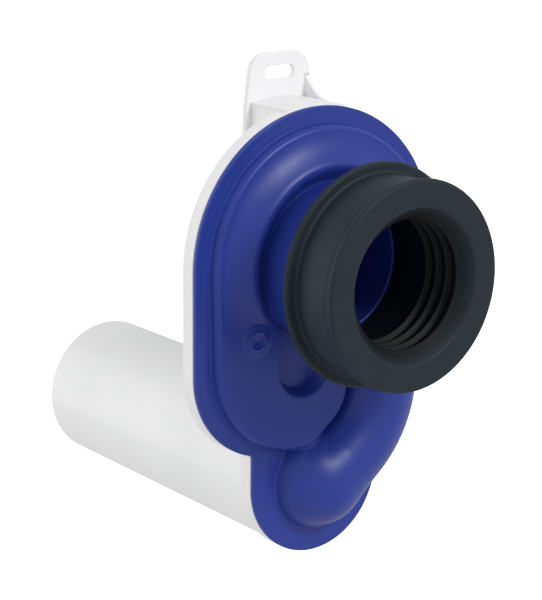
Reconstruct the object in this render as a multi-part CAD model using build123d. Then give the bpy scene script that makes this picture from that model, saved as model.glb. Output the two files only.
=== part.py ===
from build123d import *
import math
import os

# Concealed urinal trap with a horizontal DN50 outlet. Millimetres, +Z up, +Y towards the wall.
# Origin: on the outlet pipe's axis, at the shoulder where the pipe leaves the back of the shells.

# ---- Driving dimensions -------------------------------------------------------------------
PIPE_R = 25.0
PIPE_WALL = 2.0
PIPE_LENGTH = 119.5
PIPE_BEVEL = 1.0
STUB_LENGTH = 18.0
STUB_WALL = 2.2
PIPE_FIT_GAP = 0.05

INLET_Z = 73.6
TOP_CENTRE = (0.0, 74.4)
RIM_DEPTH = 5.5
FLANGE_THICK = 1.5
RIM_WIDTH = 5.3
TOP_R = 48.3
BODY_TOP_R = TOP_R - RIM_WIDTH
LOBE_R = 25.75
SHELL_WALL = 2.2

# Lower left chamber: the flange bulges round one centre and the raised body round another.
CHAMBER_FLANGE_CENTRE = (-17.8, 41.3)
CHAMBER_FLANGE_R = 30.5
CHAMBER_BODY_CENTRE = (-10.0, 44.5)
CHAMBER_BODY_R = 32.5

# The plateau leans: it stands lowest at the upper left and highest at the lower right.
PLATEAU_H = 4.6
PLATEAU_LEAN_X = 1.7
PLATEAU_LEAN_Z = 1.25
PLATEAU_ROUND = 2.6
INNER_ROUND_SHARE = 0.6
# Roll round the inlet, as (radius, height) points: moat floor, moat wall, crest and outer flank.
MOAT_FLOOR = (25.0, 5.0)
MOAT_SIDE = [(26.4, 5.0), (28.0, 6.4), (30.0, 8.0)]
ROLL_CREST = (31.7, 8.7)
ROLL_FLANK = [(34.0, 7.5), (36.0, 6.0), (38.0, 4.6), (40.5, 2.6)]
ROLL_GAP = (205.0, 300.0)

GROOVE_R = 15.0
POCKET_LOW = ((-9.5, 40.0), 9.0)
POCKET_HIGH = ((-3.5, 73.6), 13.0)
POCKET_H = 0.2

CHANNEL_R = 14.0
CHANNEL_FLANGE_R = 18.6
CHANNEL_CURVE_CENTRE = (20.0, 18.0)
CHANNEL_CURVE_R = 20.0
CHANNEL_START = (1.5, -1.8)
CHANNEL_BEND = (21.5, 15.0)
CHANNEL_BEND_R = 31.0
CHANNEL_TOP = (31.5, 62.0)
CHANNEL_TOP_R = 9.5
DOME_CENTRE = (0.5, -0.5)
DOME_R = 17.4
DOME_H = 13.8

SOCKET_R = 25.8
SOCKET_BORE_R = 23.7
SOCKET_H = 26.9
DUCT_R = 22.0
DUCT_WALL = 2.2
DUCT_END_Y = 8.0
DUCT_WINDOW_HALF = 12.0
DUCT_WINDOW_Y = -3.4
DUCT_WINDOW_TOP = 15.0
SEAT_H = 10.5

GATE_POS = (-27.6, 51.6)
GATE_BOSS_R = 5.6
GATE_RING_R = 2.9
GATE_RING_BORE_R = 1.2
GATE_STEP = 0.4
GATE_ROOT = 1.8

PLATE_THICK = 2.0
PLATE_INSET = 3.2
PLATE_GAP = 0.1
PORT_POS = (-20.0, 36.0)
PORT_R = 9.0

RIM_PLATE = 4.0
RIM_SKIRT = 2.2
REAR_INSET = 9.0
REAR_DEPTH = 18.0
REAR_WALL = 2.4
REAR_ROUND = 5.0
PIPE_CLEARANCE = 1.2

TAB_FRONT = 14.0
TAB_THICK = 2.2
TAB_TOP_Z = 137.5
TAB_TOP_HALF = 11.3
TAB_SHOULDER_HALF = 13.6
TAB_BASE_HALF = 13.9
TAB_BASE_Z = 106.0
TAB_SHOULDER_Z = 120.0
TAB_CORNER_R = 6.5
SLOT_LENGTH = 11.5
SLOT_WIDTH = 4.4
SLOT_CORNER_R = 1.9
SLOT_Z = 131.0
BRIDGE_R = 49.0
BRIDGE_HALF = 11.8
BRIDGE_WALL = 2.0
BRIDGE_START = -5.0
BRIDGE_LOW_Z = 106.5
GUSSET_TOP_Z = 128.0
GUSSET_THICK = 1.8
GUSSET_FOOT_DROP = 3.5
GUSSET_CURVE_MID = (8.6, 123.2)
GUSSET_CURVE_END = (0.0, 121.6)

COLLAR_R = 35.7
COLLAR_THICK = 2.0
MUFF_R = 32.0
MUFF_LENGTH = 20.1
BEAD_R = 33.2
BEAD_LENGTH = 3.6
MOUTH_R = 24.5
MOUTH_DEPTH = 3.0
SLEEVE_BORE_R = 22.0
LIP_R = 20.4
LIP_PITCH = 4.6
LIP_WIDTH = 1.7
LIP_COUNT = 4
NECK_R = SOCKET_BORE_R - 0.05
NECK_LENGTH = 15.0
SEAT_GAP = 0.05

# ---- Levels along Y -----------------------------------------------------------------------
JOINT_Y = -RIM_DEPTH
FACE_Y = JOINT_Y - FLANGE_THICK
SOCKET_RIM_Y = FACE_Y - SOCKET_H
COLLAR_BACK_Y = SOCKET_RIM_Y - SEAT_GAP
MOUTH_Y = COLLAR_BACK_Y - MUFF_LENGTH
REAR_Y = REAR_DEPTH
FAR = 60.0


def front_plane(y):
    """XZ plane at depth y, whose normal points to the front (-Y)."""
    return Plane((0, y, 0), x_dir=(1, 0, 0), z_dir=(0, -1, 0))


def slab(sketch, y_front, y_back):
    """Solid of a sketch drawn in (x, z), from y_back forward to y_front."""
    return extrude(front_plane(y_back) * sketch, amount=y_back - y_front)


def disc(r, x, z, y_front, y_back):
    return slab(Pos(x, z) * Circle(r), y_front, y_back)


def hull_of_circles(c1, r1, c2, r2):
    """The two circles and the band between their outer tangents, in (x, z)."""
    dx = c2[0] - c1[0]
    dz = c2[1] - c1[1]
    spread = math.acos((r1 - r2) / math.hypot(dx, dz))
    heading = math.atan2(dz, dx)
    corners = []
    for sign in (1, -1):
        a = heading + sign * spread
        pair = [(c1[0] + r1 * math.cos(a), c1[1] + r1 * math.sin(a)),
                (c2[0] + r2 * math.cos(a), c2[1] + r2 * math.sin(a))]
        corners += pair if sign == 1 else pair[::-1]
    band = make_face(Polyline(*corners, close=True))
    return Pos(*c1) * Circle(r1) + Pos(*c2) * Circle(r2) + band


def ring_solid(points):
    """Solid of revolution about the inlet axis from (radius, y) points."""
    profile = make_face(Polyline(*points, close=True))
    return Pos(0, 0, INLET_Z) * revolve(profile, axis=Axis.Y)


# ---- Outlines in (x, z) -------------------------------------------------------------------
def body_outline(inset=0.0):
    """Raised body of the shells: the round top and the lower left chamber."""
    return hull_of_circles(TOP_CENTRE, BODY_TOP_R - inset,
                           CHAMBER_BODY_CENTRE, CHAMBER_BODY_R - inset)


def flange_outline(inset=0.0):
    """Outer edge that both shells share."""
    top = hull_of_circles(TOP_CENTRE, TOP_R - inset,
                          CHAMBER_FLANGE_CENTRE, CHAMBER_FLANGE_R - inset)
    lobe = Circle(LOBE_R - inset) + Pos(-(LOBE_R - inset) / 2, 6) * Rectangle(LOBE_R - inset, 12)
    lower = hull_of_circles(CHANNEL_START, CHANNEL_FLANGE_R - inset,
                            CHANNEL_CURVE_CENTRE, CHANNEL_CURVE_R - inset)
    upper = hull_of_circles(CHANNEL_CURVE_CENTRE, CHANNEL_CURVE_R - inset,
                            TOP_CENTRE, TOP_R - inset)
    return top + lobe + lower + upper


# ---- Front shell --------------------------------------------------------------------------
def roll():
    """Broad roll round the inlet, left open below and at the lower left."""
    section = [MOAT_FLOOR, *MOAT_SIDE, ROLL_CREST, *ROLL_FLANK]
    ring = ring_solid([(MOAT_FLOOR[0], FACE_Y), *[(r, FACE_Y - h) for r, h in section],
                       (ROLL_FLANK[-1][0], FACE_Y)])
    turns = [math.radians(ROLL_GAP[0] + (ROLL_GAP[1] - ROLL_GAP[0]) * k / 4) for k in range(5)]
    wedge = Polyline((0, 0), *[(FAR * math.cos(a), FAR * math.sin(a)) for a in turns], close=True)
    return ring - slab(Pos(0, INLET_Z) * make_face(wedge), FACE_Y - FAR, JOINT_Y + FAR)


def moat():
    """Room above the moat, between the socket and the roll's crest."""
    section = [MOAT_FLOOR, *MOAT_SIDE, ROLL_CREST]
    return ring_solid([*[(r, FACE_Y - h) for r, h in section],
                       (ROLL_CREST[0], FACE_Y - FAR), (MOAT_FLOOR[0], FACE_Y - FAR)])


def plateau(shrink):
    """Leaning plateau over the raised body, with a rounded shoulder."""
    lean = (front_plane(FACE_Y - PLATEAU_H + shrink) * Pos(0, INLET_Z, 0)
            * Rot(-PLATEAU_LEAN_Z, -PLATEAU_LEAN_X, 0))
    block = slab(body_outline(shrink), FACE_Y - 2 * PLATEAU_H, JOINT_Y + 1)
    block -= lean * Pos(0, 0, FAR / 2) * Box(5 * FAR, 5 * FAR, FAR)
    front_edges = block.faces().sort_by(Axis.Y)[0].edges()
    return fillet(front_edges, PLATEAU_ROUND - shrink * INNER_ROUND_SHARE)


def pocket(grow, y_front, y_back):
    """Low pocket between the lower left chamber and the socket."""
    (low, low_r), (high, high_r) = POCKET_LOW, POCKET_HIGH
    return slab(hull_of_circles(low, low_r + grow, high, high_r + grow), y_front, y_back)


def channel_run(radius):
    """Diagonal channel from the lobe to the bend, as a full tube centred on the flange face."""
    corners = [(x, FACE_Y, z) for x, z in (CHANNEL_START, CHANNEL_BEND, CHANNEL_TOP)]
    path = Wire(FilletPolyline(*corners, radius=CHANNEL_BEND_R).edges()[0:2])
    return sweep(Plane(path @ 0, z_dir=path % 0) * Circle(radius), path=path), path @ 1, path % 1


def outlet_dome(shrink):
    """Flattened end of the channel over the outlet pipe."""
    ball_r = (DOME_R ** 2 + DOME_H ** 2) / (2 * DOME_H)
    x, z = DOME_CENTRE
    return Pos(x, FACE_Y - DOME_H + ball_r, z) * Sphere(ball_r - shrink)


def channel(shrink):
    """Channel run, the taper that joins it to the ring, and the dome over the outlet."""
    run, rise_start, rise_dir = channel_run(CHANNEL_R - shrink)
    top = Vector(CHANNEL_TOP[0], FACE_Y, CHANNEL_TOP[1])
    taper = loft([Plane(rise_start, z_dir=rise_dir) * Circle(CHANNEL_R - shrink),
                  Plane(top, z_dir=rise_dir) * Circle(CHANNEL_TOP_R - shrink)])
    top_ball = Pos(top) * Sphere(CHANNEL_TOP_R - shrink)
    return run + taper + top_ball + outlet_dome(shrink)


def in_front_of(y):
    """Block that keeps only what lies in front of depth y."""
    return slab(Rectangle(6 * FAR, 6 * FAR), y - FAR, y)


def groove(grow):
    """Room round the channel's run that keeps the plateau clear of it."""
    run, end, _ = channel_run(GROOVE_R + grow)
    return run + Pos(end) * Sphere(GROOVE_R + grow)


def front_cavity():
    """Water way inside the front shell: lower left chamber, loop round the inlet, and channel."""
    socket = disc(SOCKET_R + SHELL_WALL, 0, INLET_Z, FACE_Y - FAR, JOINT_Y + FAR)
    under_roll = disc(ROLL_CREST[0] + SHELL_WALL, 0, INLET_Z, FACE_Y - FAR, JOINT_Y + FAR)
    loop = plateau(SHELL_WALL) - groove(SHELL_WALL) - outlet_dome(0) - under_roll
    loop -= pocket(SHELL_WALL, FACE_Y - FAR, JOINT_Y + FAR)
    return (loop + channel(SHELL_WALL) - socket) & in_front_of(JOINT_Y)


def gate():
    """Moulding gate on the plateau: a low round boss with a ring and a dimple in it."""
    lean = (GATE_POS[0] * math.sin(math.radians(PLATEAU_LEAN_X))
            - (GATE_POS[1] - INLET_Z) * math.sin(math.radians(PLATEAU_LEAN_Z)))
    level = FACE_Y - PLATEAU_H - lean
    boss = disc(GATE_BOSS_R, *GATE_POS, level - GATE_STEP, level + GATE_ROOT)
    ring = disc(GATE_RING_R, *GATE_POS, level - 2 * GATE_STEP, level)
    return boss + ring - disc(GATE_RING_BORE_R, *GATE_POS, level - 3 * GATE_STEP, level)


def front_shell():
    flange = slab(flange_outline(), FACE_Y, JOINT_Y)
    loop = plateau(0) + roll() - moat() - groove(0) - pocket(0, FACE_Y - FAR, FACE_Y - POCKET_H)
    raised = (loop + channel(0)) & in_front_of(FACE_Y)
    shell = flange + raised - front_cavity()
    shell += disc(SOCKET_R, 0, INLET_Z, SOCKET_RIM_Y, JOINT_Y)
    shell += disc(DUCT_R + DUCT_WALL, 0, INLET_Z, JOINT_Y - 1, DUCT_END_Y + DUCT_WALL)
    shell -= disc(SOCKET_BORE_R, 0, INLET_Z, SOCKET_RIM_Y, FACE_Y - SEAT_H)
    shell -= disc(DUCT_R, 0, INLET_Z, SOCKET_RIM_Y, DUCT_END_Y)
    window = Pos(0, INLET_Z - DUCT_WINDOW_TOP - DUCT_R / 2) * Rectangle(2 * DUCT_WINDOW_HALF, DUCT_R)
    shell -= slab(window, DUCT_WINDOW_Y, DUCT_END_Y)
    return shell + gate()


# ---- Partition between the two shells -----------------------------------------------------
def partition_plate():
    sketch = flange_outline(PLATE_INSET + PLATE_GAP)
    sketch -= Pos(0, INLET_Z) * Circle(DUCT_R + DUCT_WALL + PLATE_GAP)
    sketch -= Pos(*PORT_POS) * Circle(PORT_R)
    sketch -= Circle(PIPE_R - PIPE_WALL - STUB_WALL)
    return slab(sketch, JOINT_Y, JOINT_Y + PLATE_THICK)


# ---- Rear shell ---------------------------------------------------------------------------
def hanging_tab():
    """Slotted tab, the curved bridge that carries it from the rim, and its gusset."""
    half = [(TAB_BASE_HALF, TAB_BASE_Z), (TAB_SHOULDER_HALF, TAB_SHOULDER_Z),
            (TAB_TOP_HALF, TAB_TOP_Z)]
    outline = make_face(Polyline(*half, *[(-x, z) for x, z in half[::-1]], close=True))
    outline = fillet(outline.vertices().group_by(Axis.Y)[-1], TAB_CORNER_R)
    slot = Pos(0, SLOT_Z) * RectangleRounded(SLOT_LENGTH, SLOT_WIDTH, SLOT_CORNER_R)
    tab = slab(outline - slot, TAB_FRONT, TAB_FRONT + TAB_THICK)

    centre_z = TOP_CENTRE[1]
    frame_z = (BRIDGE_LOW_Z + BRIDGE_R + centre_z) / 2
    frame_h = BRIDGE_R + centre_z - BRIDGE_LOW_Z
    block = Pos(0, frame_z) * Rectangle(2 * BRIDGE_HALF, frame_h)
    block = (Pos(0, centre_z) * Circle(BRIDGE_R)) & block
    hollow = Pos(0, frame_z - 1) * Rectangle(2 * (BRIDGE_HALF - BRIDGE_WALL), frame_h + 4)
    hollow = (Pos(0, centre_z) * Circle(BRIDGE_R - BRIDGE_WALL)) & hollow
    bridge = slab(block - hollow, BRIDGE_START, TAB_FRONT)

    foot_z = centre_z + BRIDGE_R - GUSSET_FOOT_DROP
    edge = [Line((BRIDGE_START, foot_z), (TAB_FRONT, foot_z)),
            Line((TAB_FRONT, foot_z), (TAB_FRONT, GUSSET_TOP_Z)),
            ThreePointArc((TAB_FRONT, GUSSET_TOP_Z), GUSSET_CURVE_MID, GUSSET_CURVE_END),
            Line(GUSSET_CURVE_END, (BRIDGE_START, foot_z))]
    side = Plane.YZ * make_face(edge)
    gusset = Pos(BRIDGE_HALF - GUSSET_THICK, 0, 0) * extrude(side, amount=GUSSET_THICK)
    return tab + bridge + gusset


def rear_shell():
    plate = slab(flange_outline(), JOINT_Y, JOINT_Y + RIM_PLATE)
    skirt = slab(flange_outline() - flange_outline(RIM_SKIRT), JOINT_Y, 0)
    body = slab(body_outline(REAR_INSET), JOINT_Y, REAR_Y)
    body = fillet(body.faces().sort_by(Axis.Y)[-1].edges(), REAR_ROUND)
    lobe = disc(LOBE_R, 0, 0, JOINT_Y, 0)
    stub_r = PIPE_R - PIPE_WALL - PIPE_FIT_GAP
    stub = disc(stub_r, 0, 0, JOINT_Y, STUB_LENGTH)
    body -= disc(PIPE_R + PIPE_CLEARANCE, 0, 0, 0, REAR_Y + 1)
    shell = plate + skirt + body + lobe + hanging_tab() + stub

    inner = REAR_INSET + REAR_WALL
    cavity = slab(body_outline(inner), JOINT_Y, REAR_Y - REAR_WALL)
    cavity = fillet(cavity.faces().sort_by(Axis.Y)[-1].edges(), REAR_ROUND - REAR_WALL)
    cavity -= disc(PIPE_R + PIPE_CLEARANCE + REAR_WALL, 0, 0, JOINT_Y - 1, REAR_Y + 1)
    rebate = slab(flange_outline(PLATE_INSET), JOINT_Y, JOINT_Y + PLATE_THICK)
    outlet = disc(stub_r - STUB_WALL, 0, 0, JOINT_Y, STUB_LENGTH)
    return shell - cavity - rebate - outlet


# ---- Outlet pipe and inlet sleeve ---------------------------------------------------------
def outlet_pipe():
    bore_r = PIPE_R - PIPE_WALL
    pipe = disc(PIPE_R, 0, 0, 0, PIPE_LENGTH)
    pipe = chamfer(pipe.faces().sort_by(Axis.Y)[-1].edges(), PIPE_BEVEL)
    return pipe - disc(bore_r, 0, 0, 0, PIPE_LENGTH)


def inlet_sleeve():
    """Rubber sleeve: neck in the socket, collar on its rim, muff, front bead and sealing lips."""
    back = COLLAR_BACK_Y
    front = MOUTH_Y
    bead_back = front + BEAD_LENGTH
    outer = [(NECK_R, back), (COLLAR_R, back), (COLLAR_R, back - COLLAR_THICK),
             (MUFF_R + 0.8, back - COLLAR_THICK - 0.4), (MUFF_R, back - COLLAR_THICK - 1.4),
             (MUFF_R, bead_back + 1.0), (MUFF_R - 0.6, bead_back + 0.3), (BEAD_R, bead_back - 0.6),
             (BEAD_R, front + 1.6), (BEAD_R - 1.2, front + 0.5), (BEAD_R - 3.2, front)]
    inner = [(MOUTH_R, front), (SLEEVE_BORE_R, front + MOUTH_DEPTH)]
    for k in range(LIP_COUNT):
        tip = front + MOUTH_DEPTH + 1.2 + k * LIP_PITCH
        inner += [(SLEEVE_BORE_R, tip - 0.4), (LIP_R, tip), (LIP_R, tip + 0.5),
                  (SLEEVE_BORE_R, tip + LIP_WIDTH)]
    inner += [(SLEEVE_BORE_R, back + NECK_LENGTH), (NECK_R - 0.8, back + NECK_LENGTH),
              (NECK_R, back + NECK_LENGTH - 1.5)]
    return ring_solid(outer + inner)


def export(name, shape):
    export_step(shape, f"parts/{name}.step")


os.makedirs("parts", exist_ok=True)
export("front_shell", front_shell())
export("partition_plate", partition_plate())
export("rear_shell", rear_shell())
export("outlet_pipe", outlet_pipe())
export("inlet_sleeve", inlet_sleeve())
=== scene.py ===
import math

import bmesh
import bpy
import numpy as np
from mathutils import Matrix, Vector


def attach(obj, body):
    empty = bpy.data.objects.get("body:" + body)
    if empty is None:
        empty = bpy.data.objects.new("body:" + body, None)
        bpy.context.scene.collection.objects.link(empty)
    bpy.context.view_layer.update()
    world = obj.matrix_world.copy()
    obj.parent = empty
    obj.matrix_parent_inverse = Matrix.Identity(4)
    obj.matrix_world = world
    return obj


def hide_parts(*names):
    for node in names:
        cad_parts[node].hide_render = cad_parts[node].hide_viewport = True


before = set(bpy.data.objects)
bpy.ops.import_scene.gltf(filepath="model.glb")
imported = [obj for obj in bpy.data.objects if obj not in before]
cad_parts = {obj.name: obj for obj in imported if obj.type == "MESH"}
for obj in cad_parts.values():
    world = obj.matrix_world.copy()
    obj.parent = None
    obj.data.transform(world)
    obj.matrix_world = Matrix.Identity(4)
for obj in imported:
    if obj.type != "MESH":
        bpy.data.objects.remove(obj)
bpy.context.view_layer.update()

# Concealed urinal trap. The model's frame is in metres; dimensions here are in millimetres.
MM = 0.001
MERGE = 1e-6

# ---- Camera -------------------------------------------------------------------------------
CAMERA_AT = (-0.38270, -0.48044, 0.21752)
CAMERA_AZIMUTH = -37.52346
CAMERA_ELEVATION = 14.53884
CAMERA_ROLL = 0.4651
CAMERA_LENS = 117.19

# ---- Shared dimensions --------------------------------------------------------------------
INLET_Z = 73.6
TOP_CENTRE = (0.0, 74.4)
TOP_R = 48.3
BODY_TOP_R = 43.0
CHAMBER_FLANGE_CENTRE = (-17.8, 41.3)
CHAMBER_FLANGE_R = 30.5
CHAMBER_BODY_CENTRE = (-10.0, 44.5)
CHAMBER_BODY_R = 32.5
LOBE_R = 25.75
LOBE_SIDE_Z = 12.0
NOTCH_ROUND = 1.2

FACE_Y = -7.0
JOINT_Y = -5.5

CHANNEL_R = 14.0
CHANNEL_FLANGE_R = 18.6
CHANNEL_CURVE_CENTRE = (20.0, 18.0)
CHANNEL_CURVE_R = 20.0
CHANNEL_START = (1.5, -1.8)
CHANNEL_BEND = (21.5, 15.0)
CHANNEL_BEND_R = 31.0
CHANNEL_TOP = (31.5, 62.0)
CHANNEL_TOP_R = 9.5
DOME_AT = (0.5, -0.5)
DOME_R = 17.4
DOME_H = 13.8

SOCKET_R = 25.8
SOCKET_BORE_R = 23.7
SOCKET_RIM_Y = -33.9
SEAT_Y = -17.5
DUCT_R = 22.0
DUCT_OUTER_R = 24.2
DUCT_WALL = 2.2
DUCT_END_Y = 8.0
DUCT_ROUND = 9.0


# ---- Mesh helpers -------------------------------------------------------------------------
def add_mesh(name, shells, body, node=None):
    """One object from closed shells, each a (vertices in millimetres, faces) pair."""
    points = []
    faces = []
    for shell_points, shell_faces in shells:
        start = len(points)
        points += [tuple(p) for p in shell_points]
        faces += [[start + i for i in face] for face in shell_faces]
    mesh = bpy.data.meshes.new(name)
    mesh.from_pydata([(x * MM, y * MM, z * MM) for x, y, z in points], [], faces)
    form = bmesh.new()
    form.from_mesh(mesh)
    bmesh.ops.remove_doubles(form, verts=form.verts, dist=MERGE)
    form.to_mesh(mesh)
    form.free()
    mesh.polygons.foreach_set("use_smooth", [True] * len(mesh.polygons))
    mesh.update()
    piece = bpy.data.objects.new(name, mesh)
    bpy.context.scene.collection.objects.link(piece)
    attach(piece, body)
    if node:
        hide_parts(node)
    return piece


def outward(points, faces):
    """The faces, turned so that a closed shell's normals point out of it."""
    p = np.asarray(points, float)
    volume = 0.0
    for face in faces:
        a = p[face[0]]
        for i in range(1, len(face) - 1):
            volume += np.dot(a, np.cross(p[face[i]], p[face[i + 1]]))
    return faces if volume > 0 else [list(reversed(face)) for face in faces]


def loop_shell(grid):
    """Closed shell from a grid of points that joins up with itself in both directions."""
    rows, columns = grid.shape[:2]
    i, j = np.meshgrid(np.arange(rows), np.arange(columns), indexing="ij")
    i_next = (i + 1) % rows
    j_next = (j + 1) % columns
    quads = np.stack([i * columns + j, i * columns + j_next,
                      i_next * columns + j_next, i_next * columns + j], axis=-1).reshape(-1, 4)
    points = grid.reshape(-1, 3)
    a, b, c, d = (points[quads[:, k]] for k in range(4))
    volume = np.einsum("ij,ij->i", a, np.cross(b, c) + np.cross(c, d)).sum()
    if volume < 0:
        quads = quads[:, ::-1]
    return points, quads.tolist()


def rounded(corners, radii, closed=True, step_deg=12.0, support=0.25):
    """2-D outline with its corners rounded and with points beside each arc that keep flats flat."""
    count = len(corners)
    made = []
    for k, (corner, radius) in enumerate(zip(corners, radii)):
        p = np.array(corner, float)
        if radius <= 0 or (not closed and k in (0, count - 1)):
            made.append(p)
            continue
        before = np.array(corners[k - 1], float) - p
        after = np.array(corners[(k + 1) % count], float) - p
        before_len = np.linalg.norm(before)
        after_len = np.linalg.norm(after)
        before /= before_len
        after /= after_len
        half = math.acos(np.clip(before @ after, -1, 1)) / 2
        cut = min(radius / math.tan(half), 0.49 * before_len, 0.49 * after_len)
        radius = cut * math.tan(half)
        middle = before + after
        centre = p + middle / np.linalg.norm(middle) * radius / math.sin(half)
        first = p + before * cut - centre
        last = p + after * cut - centre
        turn = math.atan2(first[0] * last[1] - first[1] * last[0], first @ last)
        steps = max(2, int(abs(math.degrees(turn)) / step_deg))
        for s in range(steps + 1):
            a = turn * s / steps
            made.append(centre + np.array([first[0] * math.cos(a) - first[1] * math.sin(a),
                                           first[0] * math.sin(a) + first[1] * math.cos(a)]))
    with_support = []
    for k, p in enumerate(made):
        with_support.append(p)
        if k == len(made) - 1 and not closed:
            break
        q = made[(k + 1) % len(made)]
        gap = np.linalg.norm(q - p)
        if gap > 5 * support:
            with_support.append(p + (q - p) * support / gap)
            with_support.append(q + (p - q) * support / gap)
    return np.array(with_support)


def lathe(profile, axis_z, segments=240):
    """Closed ring from a closed (radius, y) profile turned about the line x = 0, z = axis_z."""
    angles = np.linspace(0, 2 * math.pi, segments, endpoint=False)
    radius, y = profile[:, 0], profile[:, 1]
    x = np.cos(angles)[:, None] * radius
    z = axis_z + np.sin(angles)[:, None] * radius
    return loop_shell(np.stack([x, np.broadcast_to(y, x.shape), z], axis=-1))


# ---- Distances in the (x, z) plane --------------------------------------------------------
def capsule(x, z, c1, r1, c2, r2):
    """Signed distance to two circles joined by their outer tangents; negative inside."""
    dx, dz = c2[0] - c1[0], c2[1] - c1[1]
    length = math.hypot(dx, dz)
    ux, uz = dx / length, dz / length
    along = (x - c1[0]) * ux + (z - c1[1]) * uz
    side = np.abs((x - c1[0]) * uz - (z - c1[1]) * ux)
    lean = (r1 - r2) / length
    upright = math.sqrt(1 - lean * lean)
    place = upright * along - lean * side
    between = side * upright + along * lean - r1
    return np.where(place < 0, np.hypot(side, along) - r1,
                    np.where(place > upright * length, np.hypot(side, along - length) - r2, between))


def box(x, z, centre, half_x, half_z):
    dx = np.abs(x - centre[0]) - half_x
    dz = np.abs(z - centre[1]) - half_z
    return np.hypot(np.maximum(dx, 0), np.maximum(dz, 0)) + np.minimum(np.maximum(dx, dz), 0)


def smooth_max(a, b, blend):
    """The larger of two heights, rounded over where they are within blend of each other."""
    share = np.clip(0.5 + 0.5 * (a - b) / blend, 0, 1)
    return b + (a - b) * share + blend * share * (1 - share)


def smooth_min(a, b, blend):
    return -smooth_max(-a, -b, blend)


def body_edge(x, z, inset=0.0):
    return capsule(x, z, TOP_CENTRE, BODY_TOP_R - inset, CHAMBER_BODY_CENTRE, CHAMBER_BODY_R - inset)


def flange_edge(x, z):
    top = capsule(x, z, TOP_CENTRE, TOP_R, CHAMBER_FLANGE_CENTRE, CHAMBER_FLANGE_R)
    lower = capsule(x, z, CHANNEL_START, CHANNEL_FLANGE_R, CHANNEL_CURVE_CENTRE, CHANNEL_CURVE_R)
    upper = capsule(x, z, CHANNEL_CURVE_CENTRE, CHANNEL_CURVE_R, TOP_CENTRE, TOP_R)
    lobe = np.minimum(np.hypot(x, z) - LOBE_R,
                      box(x, z, (-LOBE_R / 2, LOBE_SIDE_Z / 2), LOBE_R / 2, LOBE_SIDE_Z / 2))
    return np.minimum(smooth_min(top, lobe, NOTCH_ROUND), np.minimum(lower, upper))


FAR_OUT = 130.0


def reach(angles, edge):
    """How far each ray from the inlet axis goes before it leaves an outline for the last time."""
    distance = np.full(len(angles), FAR_OUT)
    for _ in range(90):
        distance -= edge(distance * np.cos(angles), INLET_Z + distance * np.sin(angles))
    return distance


def first_exit(angles, edge, start):
    """How far each ray goes before it first leaves an outline."""
    distance = np.full(len(angles), start)
    for _ in range(120):
        distance += np.maximum(-edge(distance * np.cos(angles), INLET_Z + distance * np.sin(angles)), 0)
    return distance


def even_rays(count):
    """Ray angles spaced so that their ends are evenly spread along the flange's edge."""
    fine = np.linspace(0, 2 * math.pi, 6001)
    ends = reach(fine, flange_edge)
    x, z = ends * np.cos(fine), ends * np.sin(fine)
    run = np.concatenate([[0], np.cumsum(np.hypot(np.diff(x), np.diff(z)))])
    return np.interp(np.linspace(0, run[-1], count, endpoint=False), run, fine)


# ---- Front shell's relief -----------------------------------------------------------------
PLATEAU_H = 4.6
PLATEAU_LEAN_X = 0.030
PLATEAU_LEAN_Z = 0.022
PLATEAU_SHOULDER = 1.9
GROOVE_SHOULDER = 2.2
GROOVE_R = 15.0
RELIEF_BLEND = 0.9
DOME_BLEND = 3.0
CHANNEL_BLEND = 0.8
ROLL_FOOT_R = 42.5
ROLL_CREST_R = 32.0
ROLL_RISE = 4.6
ROLL_FADE = (-178.0, -140.0)
ROLL_END = -60.0
MOAT_OUTER_R = 26.4
MOAT_H = 5.0
MOAT_SLOPE = 0.85
MOAT_BLEND = 3.4
POCKET_LOW = ((-9.5, 40.0), 9.0)
POCKET_HIGH = ((-3.5, 73.6), 13.0)
POCKET_H = 0.2
POCKET_SLOPE = 2.2
POCKET_ROUND = 1.6
STEP_H = 0.07
STEP_AT = 2.7
STEP_WIDTH = 1.2
GATE_AT = (-27.6, 51.6)
GATE_BOSS_R = 5.6
GATE_RING_R = 2.9
GATE_RING_WIDTH = 0.5
GATE_NUB_R = 1.0
GATE_BOSS_H = 0.35
GATE_RING_H = 0.3
GATE_NUB_DEPTH = 0.4


def channel_path():
    """Centreline of the channel from the outlet to the bend's end: straight run, arc, riser."""
    start, bend, top = (np.array(p, float) for p in (CHANNEL_START, CHANNEL_BEND, CHANNEL_TOP))
    into = (bend - start) / np.linalg.norm(bend - start)
    out = (top - bend) / np.linalg.norm(top - bend)
    turn = math.acos(into @ out)
    cut = CHANNEL_BEND_R * math.tan(turn / 2)
    centre = bend - into * cut + CHANNEL_BEND_R * np.array([-into[1], into[0]])
    first = math.atan2(*(bend - into * cut - centre)[::-1])
    arc = [centre + CHANNEL_BEND_R * np.array([math.cos(first + turn * s), math.sin(first + turn * s)])
           for s in np.linspace(0, 1, 25)]
    return np.array([start, *arc]), arc[-1], top


def path_distance(x, z, path):
    """Distance to a polyline."""
    nearest = np.full(x.shape, 1e9)
    for a, b in zip(path[:-1], path[1:]):
        dx, dz = b - a
        share = np.clip(((x - a[0]) * dx + (z - a[1]) * dz) / (dx * dx + dz * dz), 0, 1)
        nearest = np.minimum(nearest, np.hypot(x - a[0] - share * dx, z - a[1] - share * dz))
    return nearest


def arch(distance, radius, straight_from=0.975):
    """Height of a half-round ridge, which carries on straight down below its flanks."""
    limit = radius * straight_from
    height = math.sqrt(radius ** 2 - limit ** 2)
    slope = limit / height
    return np.where(distance < limit, np.sqrt(np.maximum(radius ** 2 - distance ** 2, height ** 2)),
                    height - slope * (distance - limit))


def shoulder(height, inside, width):
    """A height with its edge rounded off to a quarter ellipse, and straight down outside it."""
    share = np.clip(1 - inside / width, 0, 1)
    return np.where(inside > 0, height * np.sqrt(1 - share ** 2), 3.0 * inside)


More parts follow.
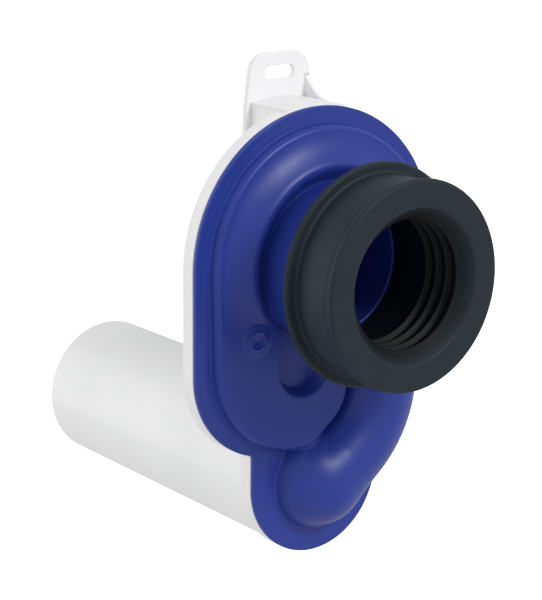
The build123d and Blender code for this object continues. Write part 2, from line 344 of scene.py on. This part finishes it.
def ease(value, start, end):
    """0 before start and 1 after end, with a smooth turn at both."""
    share = np.clip((value - start) / (end - start), 0, 1)
    return share * share * (3 - 2 * share)


def roll(x, z, level):
    """Plateau height with the broad roll round the socket and the moat inside it.

    The roll sinks back into the plateau at the lower left, towards the pocket.
    """
    from_axis = np.hypot(x, z - INLET_Z)
    turn = np.degrees(np.arctan2(z - INLET_Z, x))
    sunk = np.where(turn < ROLL_END, ease(turn, *ROLL_FADE), 0)
    climb = np.clip((ROLL_FOOT_R - from_axis) / (ROLL_FOOT_R - ROLL_CREST_R), 0, 1.2)
    moat = MOAT_H + MOAT_SLOPE * np.maximum(from_axis - MOAT_OUTER_R, 0)
    return smooth_min(level + ROLL_RISE * climb ** 2 * (1 - sunk), moat, MOAT_BLEND)


def relief(x, z):
    """How far the front shell stands proud of its flange face at (x, z)."""
    run, rise_start, top = channel_path()
    to_run = path_distance(x, z, run)
    rise = top - rise_start
    share = np.clip(((x - rise_start[0]) * rise[0] + (z - rise_start[1]) * rise[1]) / (rise @ rise), 0, 1)
    to_rise = np.hypot(x - rise_start[0] - share * rise[0], z - rise_start[1] - share * rise[1])
    rise_r = CHANNEL_R + (CHANNEL_TOP_R - CHANNEL_R) * share

    level = PLATEAU_H + PLATEAU_LEAN_X * x - PLATEAU_LEAN_Z * (z - INLET_Z)
    plateau = shoulder(roll(x, z, level), -body_edge(x, z), PLATEAU_SHOULDER)
    plateau = shoulder(plateau, to_run - GROOVE_R, GROOVE_SHOULDER)
    channel = np.maximum(arch(to_run, CHANNEL_R), arch(to_rise, CHANNEL_R) - (CHANNEL_R - rise_r))
    ball = (DOME_R ** 2 + DOME_H ** 2) / (2 * DOME_H)
    dome = arch(np.hypot(x - DOME_AT[0], z - DOME_AT[1]), ball) - (ball - DOME_H)

    step = STEP_H * np.clip((-flange_edge(x, z) - STEP_AT) / STEP_WIDTH, 0, 1)
    (low, low_r), (high, high_r) = POCKET_LOW, POCKET_HIGH
    pocket = capsule(x, z, low, low_r, high, high_r)
    pocket_side = POCKET_H + np.maximum(POCKET_SLOPE * (pocket + POCKET_ROUND), 0)
    height = smooth_min(plateau, pocket_side, POCKET_ROUND)
    height = smooth_max(height, smooth_max(channel, dome, DOME_BLEND), CHANNEL_BLEND)
    height = smooth_max(height, step, RELIEF_BLEND)

    gate = np.hypot(x - GATE_AT[0], z - GATE_AT[1])
    height = height + GATE_BOSS_H * np.clip(1 - (gate / GATE_BOSS_R) ** 6, 0, 1)
    height = height + GATE_RING_H * np.exp(-((gate - GATE_RING_R) / GATE_RING_WIDTH) ** 2)
    return height - GATE_NUB_DEPTH * np.exp(-(gate / GATE_NUB_R) ** 2)


FRONT_RAYS = 900
MOAT_RINGS = 26
MOAT_ZONE_R = 33.2
FRONT_RINGS = 120
FOOT_GAP = 0.02
WALL_START = 4.0
WALL_SHARES = (*np.linspace(0.05, 0.93, 13), 0.999)
EDGE_ROUND = 0.45
# Small bevel at the back edge, as (inset from the edge, distance in front of the joint) points.
BACK_EDGE = ((0.0, 0.25), (0.07, 0.07), (0.25, 0.0))


def front_shell():
    """Front shell as one closed skin: duct, socket, relief, flange edge and back face."""
    angles = even_rays(FRONT_RAYS)
    ends = reach(angles, flange_edge)
    cos, sin = np.cos(angles)[:, None], np.sin(angles)[:, None]

    cap_y = DUCT_END_Y + DUCT_WALL
    wall_start = SOCKET_RIM_Y + WALL_START
    corners = [(DUCT_OUTER_R, JOINT_Y, 0), (DUCT_OUTER_R, cap_y, 0.5), (0.0, cap_y, 0),
               (0.0, DUCT_END_Y, 0), (DUCT_R, DUCT_END_Y, DUCT_ROUND), (DUCT_R, SEAT_Y, 0.5),
               (SOCKET_BORE_R, SEAT_Y, 0.4), (SOCKET_BORE_R, SOCKET_RIM_Y, 0.5),
               (SOCKET_R, SOCKET_RIM_Y, 0.5), (SOCKET_R, wall_start, 0)]
    inner = rounded([c[:2] for c in corners], [c[2] for c in corners], closed=False)
    radius = [np.full(FRONT_RAYS, r) for r, _ in inner]
    depth = [np.full(FRONT_RAYS, y) for _, y in inner]

    near = np.linspace(SOCKET_R + FOOT_GAP, MOAT_ZONE_R, MOAT_RINGS - 1, endpoint=False)
    near = np.concatenate([[SOCKET_R], near])
    shares = np.linspace(0, 1, FRONT_RINGS)
    away = MOAT_ZONE_R + (ends - EDGE_ROUND - MOAT_ZONE_R)[:, None] * shares
    reached = np.hstack([np.broadcast_to(near, (FRONT_RAYS, MOAT_RINGS)), away])
    height = relief(reached * cos, INLET_Z + reached * sin)

    foot_y = FACE_Y - height[:, 0]
    for share in WALL_SHARES:
        radius.append(np.full(FRONT_RAYS, SOCKET_R))
        depth.append(wall_start + (foot_y - wall_start) * share)
    for k in range(MOAT_RINGS + FRONT_RINGS):
        radius.append(reached[:, k])
        depth.append(FACE_Y - height[:, k])
    for a in np.radians([22.5, 45, 67.5, 90]):
        radius.append(ends - EDGE_ROUND * (1 - math.sin(a)))
        depth.append(np.full(FRONT_RAYS, FACE_Y + EDGE_ROUND * (1 - math.cos(a))))
    for inset, before in BACK_EDGE:
        radius.append(ends - inset)
        depth.append(np.full(FRONT_RAYS, JOINT_Y - before))
    radius = np.stack(radius, axis=1)
    depth = np.stack(depth, axis=1)
    grid = np.stack([radius * cos, depth, INLET_Z + radius * sin], axis=-1)
    return add_mesh("front_shell_skin", [loop_shell(grid)], "trap", "front_shell")


# ---- Rear shell ---------------------------------------------------------------------------
RIM_BACK_Y = 0.0
RIM_RECESS_Y = -1.5
SKIRT = 2.2
REAR_INSET = 9.0
REAR_Y = 18.0
REAR_ROUND = 5.0
REAR_WALL = 2.4
DUCT_ROOM_R = DUCT_OUTER_R + 0.1
PIPE_R = 25.0
PIPE_CLEARANCE = 1.2
REAR_RAYS = 600
RECESS_ROUND = 1.2
RIM_STEP_WIDTH = 0.5

TAB_FRONT = 14.0
TAB_THICK = 2.2
TAB_TOP_Z = 137.5
TAB_TOP_HALF = 11.3
TAB_SHOULDER_HALF = 13.6
TAB_BASE_HALF = 13.9
TAB_BASE_Z = 106.0
TAB_SHOULDER_Z = 120.0
TAB_CORNER_R = 6.5
SLOT_LENGTH = 11.5
SLOT_WIDTH = 4.4
SLOT_CORNER_R = 1.9
SLOT_Z = 131.0
BRIDGE_R = 49.0
BRIDGE_HALF = 11.8
BRIDGE_WALL = 2.0
BRIDGE_START = -5.0
BRIDGE_LOW_Z = 106.5
GUSSET_TOP_Z = 130.0
GUSSET_THICK = 1.8
GUSSET_FOOT_DROP = 3.5
GUSSET_INSET = 0.05
GUSSET_CURVE_DROP = 8.4
GUSSET_CURVE_POWER = 2.2
BRIDGE_OVERLAP = 0.2
EDGE_SOFT = 0.35


def rear_edge(x, z):
    """Raised rear body, less the room that the outlet pipe takes."""
    return np.maximum(body_edge(x, z, REAR_INSET), PIPE_R + PIPE_CLEARANCE - np.hypot(x, z))


def rear_body():
    angles = even_rays(REAR_RAYS)
    ends = reach(angles, flange_edge)
    body = first_exit(angles, rear_edge, 5.0)
    cos, sin = np.cos(angles)[:, None], np.sin(angles)[:, None]
    radius = []
    depth = []

    def row(r, y):
        radius.append(np.broadcast_to(r, (REAR_RAYS,)).astype(float))
        depth.append(np.broadcast_to(y, (REAR_RAYS,)).astype(float))

    for r, y in ((DUCT_ROOM_R, JOINT_Y), (DUCT_ROOM_R, REAR_Y - REAR_WALL), (0.0, REAR_Y - REAR_WALL)):
        row(r, y)
    for share in (0.0, 0.3, 0.6, 0.9, 0.99):
        row((body - REAR_ROUND) * share, REAR_Y)
    for a in np.radians(np.arange(0, 91, 10)):
        row(body - REAR_ROUND * (1 - math.sin(a)), REAR_Y - REAR_ROUND * (1 - math.cos(a)))
    for share in (0.05, 0.35, 0.65, 0.95):
        row(body, REAR_Y - REAR_ROUND - (REAR_Y - REAR_ROUND - 1.0) * share)
    floor_start = body + RECESS_ROUND
    for a in np.radians(np.arange(0, 91, 18)):
        row(floor_start - RECESS_ROUND * math.cos(a), RECESS_ROUND * (1 - math.sin(a)) + RIM_RECESS_Y)
    for share in np.linspace(0, 1, 60)[1:]:
        r = floor_start + (ends - EDGE_SOFT - floor_start) * share
        x, z = r * cos[:, 0], INLET_Z + r * sin[:, 0]
        raised = np.clip((SKIRT + flange_edge(x, z)) / RIM_STEP_WIDTH + 0.5, 0, 1)
        lobe = np.clip((LOBE_R - np.hypot(x, z)) / RIM_STEP_WIDTH + 0.5, 0, 1)
        row(r, RIM_RECESS_Y + (RIM_BACK_Y - RIM_RECESS_Y) * np.maximum(raised, lobe))
    for a in np.radians([22.5, 45, 67.5, 90]):
        row(ends - EDGE_SOFT * (1 - math.sin(a)), RIM_BACK_Y - EDGE_SOFT * (1 - math.cos(a)))
    row(ends, RIM_BACK_Y - EDGE_SOFT - 0.25)
    row(ends, JOINT_Y + EDGE_SOFT + 0.25)
    row(ends, JOINT_Y + EDGE_SOFT)
    row(ends - 0.1, JOINT_Y + 0.1)
    row(ends - EDGE_SOFT, JOINT_Y)
    radius = np.stack(radius, axis=1)
    depth = np.stack(depth, axis=1)
    return loop_shell(np.stack([radius * cos, depth, INLET_Z + radius * sin], axis=-1))


def even_loop(points, count):
    """Closed loop of count points spread evenly along a closed outline."""
    ring = np.vstack([points, points[:1]])
    run = np.concatenate([[0], np.cumsum(np.linalg.norm(np.diff(ring, axis=0), axis=1))])
    where = np.linspace(0, run[-1], count, endpoint=False)
    return np.stack([np.interp(where, run, ring[:, 0]), np.interp(where, run, ring[:, 1])], axis=-1)


def inwards(points):
    """Unit normals of a closed loop, pointing into it."""
    ahead = np.roll(points, -1, axis=0) - np.roll(points, 1, axis=0)
    normal = np.stack([-ahead[:, 1], ahead[:, 0]], axis=-1)
    normal /= np.linalg.norm(normal, axis=1)[:, None]
    x, z = points[:, 0], points[:, 1]
    area = (x * np.roll(z, -1) - z * np.roll(x, -1)).sum()
    return normal if area > 0 else -normal


def framed_plate(outer, hole, y_front, y_back, soft):
    """Plate between two matching loops, with softened edges outside and in the hole."""
    inset = inwards(outer)
    outset = -inwards(hole)
    quarter = np.radians([0, 30, 60, 90])
    rows = []
    for a in quarter:
        rows.append((outer + inset * soft * (1 - math.cos(a)), y_front + soft * (1 - math.sin(a))))
    rows.append((outer + inset * (soft + 0.3), y_front))
    rows.append((hole + outset * (soft + 0.3), y_front))
    for a in quarter[::-1]:
        rows.append((hole + outset * soft * (1 - math.cos(a)), y_front + soft * (1 - math.sin(a))))
    for a in quarter:
        rows.append((hole + outset * soft * (1 - math.cos(a)), y_back - soft * (1 - math.sin(a))))
    rows.append((hole + outset * (soft + 0.3), y_back))
    rows.append((outer + inset * (soft + 0.3), y_back))
    for a in quarter[::-1]:
        rows.append((outer + inset * soft * (1 - math.cos(a)), y_back - soft * (1 - math.sin(a))))
    grid = np.stack([np.stack([p[:, 0], np.full(len(p), y), p[:, 1]], axis=-1) for p, y in rows], axis=1)
    return loop_shell(grid)


def prism(outline, low, high, soft, place):
    """Solid of a closed outline between two levels, with softened edges; place maps it to x, y, z."""
    inset = inwards(outline)
    count = len(outline)
    rows = []
    for level, sign in ((low, 1), (high, -1)):
        steps = np.radians([90, 60, 30, 0]) if sign == 1 else np.radians([0, 30, 60, 90])
        for a in steps:
            ring = outline + inset * soft * (1 - math.cos(a))
            rows.append((ring, level + sign * soft * (1 - math.sin(a))))
    points = [place(p[0], p[1], level) for ring, level in rows for p in ring]
    faces = []
    for r in range(len(rows) - 1):
        for k in range(count):
            k_next = (k + 1) % count
            faces.append([r * count + k, r * count + k_next, (r + 1) * count + k_next, (r + 1) * count + k])
    faces.append(list(range(count))[::-1])
    faces.append([(len(rows) - 1) * count + k for k in range(count)])
    return points, outward(points, faces)


def arc_points(radius, half_width, count):
    """Points over the top of a circle about the shell's top centre, from +half_width to -half_width."""
    x = np.linspace(half_width, -half_width, count)
    return [(v, TOP_CENTRE[1] + math.sqrt(radius ** 2 - v ** 2)) for v in x]


def hanging_tab():
    """Slotted tab, the curved bridge that carries it from the rim, and its gusset."""
    half = [(TAB_BASE_HALF, TAB_BASE_Z), (TAB_SHOULDER_HALF, TAB_SHOULDER_Z), (TAB_TOP_HALF, TAB_TOP_Z)]
    outer = rounded(half + [(-x, z) for x, z in half[::-1]], [0.5, 20, TAB_CORNER_R, TAB_CORNER_R, 20, 0.5])
    corner_x, corner_z = SLOT_LENGTH / 2, SLOT_WIDTH / 2
    hole = rounded([(corner_x, SLOT_Z - corner_z), (corner_x, SLOT_Z + corner_z),
                    (-corner_x, SLOT_Z + corner_z), (-corner_x, SLOT_Z - corner_z)], [SLOT_CORNER_R] * 4)
    outer = even_loop(outer, 400)
    hole_fine = even_loop(hole, 4000)
    centre = np.array([0, SLOT_Z])
    outer_angle = np.arctan2(*(outer - centre).T[::-1])
    hole_angle = np.arctan2(*(hole_fine - centre).T[::-1])
    match = [int(np.argmin(np.abs(np.angle(np.exp(1j * (hole_angle - a)))))) for a in outer_angle]
    tab = framed_plate(outer, hole_fine[match], TAB_FRONT, TAB_FRONT + TAB_THICK, EDGE_SOFT)

    inner_half = BRIDGE_HALF - BRIDGE_WALL
    over = [(BRIDGE_HALF, BRIDGE_LOW_Z), *arc_points(BRIDGE_R, BRIDGE_HALF, 41),
            (-BRIDGE_HALF, BRIDGE_LOW_Z)]
    under = [(-inner_half, BRIDGE_LOW_Z), *arc_points(BRIDGE_R - BRIDGE_WALL, inner_half, 41)[::-1],
             (inner_half, BRIDGE_LOW_Z)]
    bridge_outline = np.array(over + under)
    back = TAB_FRONT + BRIDGE_OVERLAP
    bridge = prism(bridge_outline, BRIDGE_START, back, 0.15, lambda x, z, y: (x, y, z))

    foot_z = TOP_CENTRE[1] + BRIDGE_R - GUSSET_FOOT_DROP
    curve = [(back * (1 - s), GUSSET_TOP_Z - GUSSET_CURVE_DROP * (1 - (1 - s) ** GUSSET_CURVE_POWER))
             for s in np.linspace(0, 1, 14)]
    gusset_outline = np.array([(BRIDGE_START, foot_z), (back, foot_z), *curve])
    high = BRIDGE_HALF - GUSSET_INSET
    gusset = prism(gusset_outline, high - GUSSET_THICK, high, 0.3, lambda y, z, x: (x, y, z))
    return [tab, bridge, gusset]


def rear_shell():
    return add_mesh("rear_shell_skin", [rear_body(), *hanging_tab()], "trap", "rear_shell")


# ---- Outlet pipe and inlet sleeve ---------------------------------------------------------
PIPE_WALL = 2.0
PIPE_LENGTH = 119.5

COLLAR_R = 35.7
COLLAR_THICK = 2.0
COLLAR_BACK_Y = -33.95
MUFF_R = 32.0
MOUTH_Y = -54.05
BEAD_R = 33.2
BEAD_LENGTH = 3.6
MOUTH_R = 24.5
MOUTH_DEPTH = 3.0
SLEEVE_BORE_R = 22.0
LIP_R = 20.4
LIP_PITCH = 4.6
LIP_COUNT = 4
NECK_R = 23.65
NECK_LENGTH = 15.0


def outlet_pipe():
    bore = PIPE_R - PIPE_WALL
    profile = rounded([(bore, 0.0), (PIPE_R, 0.0), (PIPE_R, PIPE_LENGTH), (bore, PIPE_LENGTH)],
                      [0.2, 0.2, 1.0, 0.4])
    return add_mesh("outlet_pipe_skin", [lathe(profile, 0.0)], "trap", "outlet_pipe")


def inlet_sleeve():
    """Rubber sleeve: neck, collar, muff, front bead, mouth chamfer and sealing lips."""
    back = COLLAR_BACK_Y
    collar_front = back - COLLAR_THICK
    bead_back = MOUTH_Y + BEAD_LENGTH
    corners = [(NECK_R, back, 0.3), (COLLAR_R, back, 0.95), (COLLAR_R, collar_front, 0.95),
               (MUFF_R + 0.1, collar_front - 0.2, 1.0), (MUFF_R, bead_back + 1.6, 4.0),
               (BEAD_R - 0.2, bead_back - 1.2, 4.0), (BEAD_R, bead_back - 1.6, 3.0),
               (BEAD_R, MOUTH_Y, 2.6), (MOUTH_R, MOUTH_Y, 1.4)]
    for k in range(LIP_COUNT):
        tip = MOUTH_Y + MOUTH_DEPTH + 1.6 + k * LIP_PITCH
        if k > 0:
            corners.append((SLEEVE_BORE_R, tip - 0.7, 0.3))
        corners += [(LIP_R, tip, 0.3), (LIP_R, tip + 0.6, 0.3), (SLEEVE_BORE_R, tip + 1.6, 0.8)]
    corners += [(SLEEVE_BORE_R, back + NECK_LENGTH, 0.6), (NECK_R - 0.8, back + NECK_LENGTH, 0.4),
                (NECK_R, back + NECK_LENGTH - 1.5, 0.4)]
    profile = rounded([c[:2] for c in corners], [c[2] for c in corners])
    return add_mesh("inlet_sleeve_skin", [lathe(profile, INLET_Z, 320)], "sleeve", "inlet_sleeve")


# ---- Materials ----------------------------------------------------------------------------
def new_material(name):
    material = bpy.data.materials.new(name)
    material.use_nodes = True
    nodes = material.node_tree.nodes
    shader = nodes["Principled BSDF"]
    where = nodes.new("ShaderNodeTexCoord").outputs["Object"]
    return material, nodes, material.node_tree.links, shader, where


def noise(nodes, links, where, size_mm, detail=3.0, roughness=0.5, stretch=(1, 1, 1)):
    """Noise whose features are about size_mm across."""
    mapping = nodes.new("ShaderNodeMapping")
    mapping.inputs["Scale"].default_value = stretch
    links.new(where, mapping.inputs["Vector"])
    texture = nodes.new("ShaderNodeTexNoise")
    texture.inputs["Scale"].default_value = 1.0 / (size_mm * MM)
    texture.inputs["Detail"].default_value = detail
    texture.inputs["Roughness"].default_value = roughness
    links.new(mapping.outputs["Vector"], texture.inputs["Vector"])
    return texture.outputs["Fac"]


def ramp(nodes, links, value, stops):
    """Colour ramp over a value, from (position, colour) stops."""
    node = nodes.new("ShaderNodeValToRGB")
    while len(node.color_ramp.elements) < len(stops):
        node.color_ramp.elements.new(0.5)
    for element, (position, colour) in zip(node.color_ramp.elements, stops):
        element.position = position
        element.color = (*colour, 1)
    links.new(value, node.inputs["Fac"])
    return node.outputs["Color"]


def remap(nodes, links, value, low, high):
    """Value from 0..1 to low..high."""
    node = nodes.new("ShaderNodeMapRange")
    node.inputs["To Min"].default_value = low
    node.inputs["To Max"].default_value = high
    links.new(value, node.inputs["Value"])
    return node.outputs["Result"]


def bumps(nodes, links, shader, layers):
    """Chain of bump nodes from (height, depth in millimetres) layers."""
    normal = None
    for height, depth_mm in layers:
        node = nodes.new("ShaderNodeBump")
        node.inputs["Strength"].default_value = 1.0
        node.inputs["Distance"].default_value = depth_mm * MM
        links.new(height, node.inputs["Height"])
        if normal:
            links.new(normal, node.inputs["Normal"])
        normal = node.outputs["Normal"]
    links.new(normal, shader.inputs["Normal"])


def plastic(name, dark, light, roughness, peel_mm, specular=0.5):
    """Moulded plastic: faint flow marks in its colour, orange peel, and uneven gloss."""
    material, nodes, links, shader, where = new_material(name)
    flow = noise(nodes, links, where, 22, 4.0, 0.55, (1, 1, 0.5))
    speck = noise(nodes, links, where, 1.4, 2.0)
    peel = noise(nodes, links, where, 2.6, 2.0)
    links.new(ramp(nodes, links, flow, [(0.3, dark), (0.7, light)]), shader.inputs["Base Color"])
    links.new(remap(nodes, links, speck, roughness - 0.05, roughness + 0.05), shader.inputs["Roughness"])
    shader.inputs["Specular IOR Level"].default_value = specular
    bumps(nodes, links, shader, [(peel, peel_mm), (noise(nodes, links, where, 0.5, 2.0), peel_mm * 0.15)])
    return material


def from_inlet_axis(nodes, links, where):
    """Distance from the inlet's axis, with 0..1 spanning the sleeve's collar."""
    flat = nodes.new("ShaderNodeVectorMath")
    flat.operation = "MULTIPLY_ADD"
    flat.inputs[1].default_value = (1 / (COLLAR_R * MM), 0, 1 / (COLLAR_R * MM))
    flat.inputs[2].default_value = (0, 0, -INLET_Z / COLLAR_R)
    links.new(where, flat.inputs[0])
    length = nodes.new("ShaderNodeVectorMath")
    length.operation = "LENGTH"
    links.new(flat.outputs["Vector"], length.inputs[0])
    return length.outputs["Value"]


# Painted shade for the bore: colour multipliers by distance from the inlet axis, darkest at the lips and
# full colour from the mouth outwards.
BORE_PAINTED_SHADE = [(LIP_R / COLLAR_R, (0.25, 0.25, 0.25)), (SLEEVE_BORE_R / COLLAR_R, (0.35, 0.35, 0.35)),
              (MOUTH_R / COLLAR_R, (1.0, 1.0, 1.0))]


def rubber(name, dark, light, roughness):
    """Matt moulded rubber with a fine grain and dull patches, with painted shade that darkens it inside the
    bore.
    """
    material, nodes, links, shader, where = new_material(name)
    patches = noise(nodes, links, where, 9, 4.0, 0.6)
    grain = noise(nodes, links, where, 0.45, 3.0, 0.6)
    tone = ramp(nodes, links, patches, [(0.3, dark), (0.7, light)])
    shaded = nodes.new("ShaderNodeMix")
    shaded.data_type = "RGBA"
    shaded.blend_type = "MULTIPLY"
    shaded.inputs[0].default_value = 1.0
    # Painted shade: the rubber's colour is multiplied darker inside the bore, where shadow falls.
    links.new(tone, shaded.inputs[6])
    links.new(ramp(nodes, links, from_inlet_axis(nodes, links, where), BORE_PAINTED_SHADE), shaded.inputs[7])
    links.new(shaded.outputs[2], shader.inputs["Base Color"])
    links.new(remap(nodes, links, patches, roughness - 0.06, roughness + 0.06), shader.inputs["Roughness"])
    shader.inputs["Specular IOR Level"].default_value = 0.25
    bumps(nodes, links, shader, [(grain, 0.02), (noise(nodes, links, where, 3.0, 2.0), 0.04)])
    return material


def dress(piece, material):
    piece.data.materials.clear()
    piece.data.materials.append(material)


blue = plastic("blue_plastic", (0.017, 0.038, 0.275), (0.021, 0.044, 0.300), 0.36, 0.012, 0.35)
hidden_blue = plastic("inner_plastic", (0.017, 0.038, 0.275), (0.021, 0.044, 0.300), 0.45, 0.012, 0.35)
white = plastic("white_plastic", (0.84, 0.84, 0.85), (0.88, 0.88, 0.89), 0.42, 0.012)
pipe_white = plastic("pipe_plastic", (0.85, 0.853, 0.86), (0.89, 0.893, 0.90), 0.35, 0.010)
black = rubber("black_rubber", (0.0100, 0.0190, 0.0275), (0.0120, 0.0220, 0.0310), 0.55)

dress(front_shell(), blue)
dress(rear_shell(), white)
dress(outlet_pipe(), pipe_white)
dress(inlet_sleeve(), black)
dress(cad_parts["partition_plate"], hidden_blue)


# ---- Floor, light and camera --------------------------------------------------------------
FLOOR_Z = -0.040


def studio_floor():
    half = 6.0
    corners = [(x, y, FLOOR_Z) for x, y in ((-half, -half), (half, -half), (half, half), (-half, half))]
    mesh = bpy.data.meshes.new("studio_floor")
    mesh.from_pydata(corners, [], [(0, 1, 2, 3)])
    floor = bpy.data.objects.new("studio_floor", mesh)
    bpy.context.scene.collection.objects.link(floor)
    material, nodes, links, shader, where = new_material("studio_floor")
    patches = noise(nodes, links, where, 400)
    tone = ramp(nodes, links, patches, [(0.3, (0.90, 0.90, 0.90)), (0.7, (0.93, 0.93, 0.93))])
    links.new(tone, shader.inputs["Base Color"])
    shader.inputs["Roughness"].default_value = 0.9
    shader.inputs["Specular IOR Level"].default_value = 0.1
    shader.inputs["Emission Color"].default_value = (1, 1, 1, 1)
    shader.inputs["Emission Strength"].default_value = 0.85
    mesh.materials.append(material)
    floor.visible_diffuse = False
    floor.visible_glossy = False
    floor.visible_shadow = False


def area_light(name, towards, distance, size, watts):
    """Square soft light on a line from the object's middle."""
    light = bpy.data.lights.new(name, "AREA")
    light.shape = "SQUARE"
    light.size = size
    light.energy = watts
    holder = bpy.data.objects.new(name, light)
    bpy.context.scene.collection.objects.link(holder)
    aim = Vector(towards).normalized()
    holder.location = Vector((0, 0.0, 0.06)) + aim * distance
    holder.rotation_mode = "QUATERNION"
    holder.rotation_quaternion = (-aim).to_track_quat("-Z", "Y")


def studio():
    world = bpy.data.worlds.new("studio")
    world.use_nodes = True
    background = world.node_tree.nodes["Background"]
    background.inputs["Color"].default_value = (1, 1, 1, 1)
    background.inputs["Strength"].default_value = 0.68
    bpy.context.scene.world = world
    bpy.context.scene.view_settings.view_transform = "Standard"
    studio_floor()
    area_light("key", (0.18, -0.80, 0.57), 1.3, 0.4, 7)
    area_light("rear_fill", (-0.60, 0.75, 0.10), 1.2, 1.2, 5)


def camera():
    azimuth, elevation, roll = (math.radians(v) for v in (CAMERA_AZIMUTH, CAMERA_ELEVATION, CAMERA_ROLL))
    back = Vector((math.sin(azimuth) * math.cos(elevation), -math.cos(azimuth) * math.cos(elevation),
                   math.sin(elevation)))
    right = Vector((math.cos(azimuth), math.sin(azimuth), 0))
    up = back.cross(right)
    turned_right = right * math.cos(roll) + up * math.sin(roll)
    turned_up = up * math.cos(roll) - right * math.sin(roll)
    data = bpy.data.cameras.new("camera")
    data.lens = CAMERA_LENS
    data.sensor_width = 36.0
    data.clip_start = 0.01
    data.clip_end = 30.0
    holder = bpy.data.objects.new("camera", data)
    bpy.context.scene.collection.objects.link(holder)
    matrix = Matrix((turned_right, turned_up, back)).transposed().to_4x4()
    matrix.translation = Vector(CAMERA_AT)
    holder.matrix_world = matrix
    bpy.context.scene.camera = holder


studio()
camera()

bpy.context.view_layer.update()
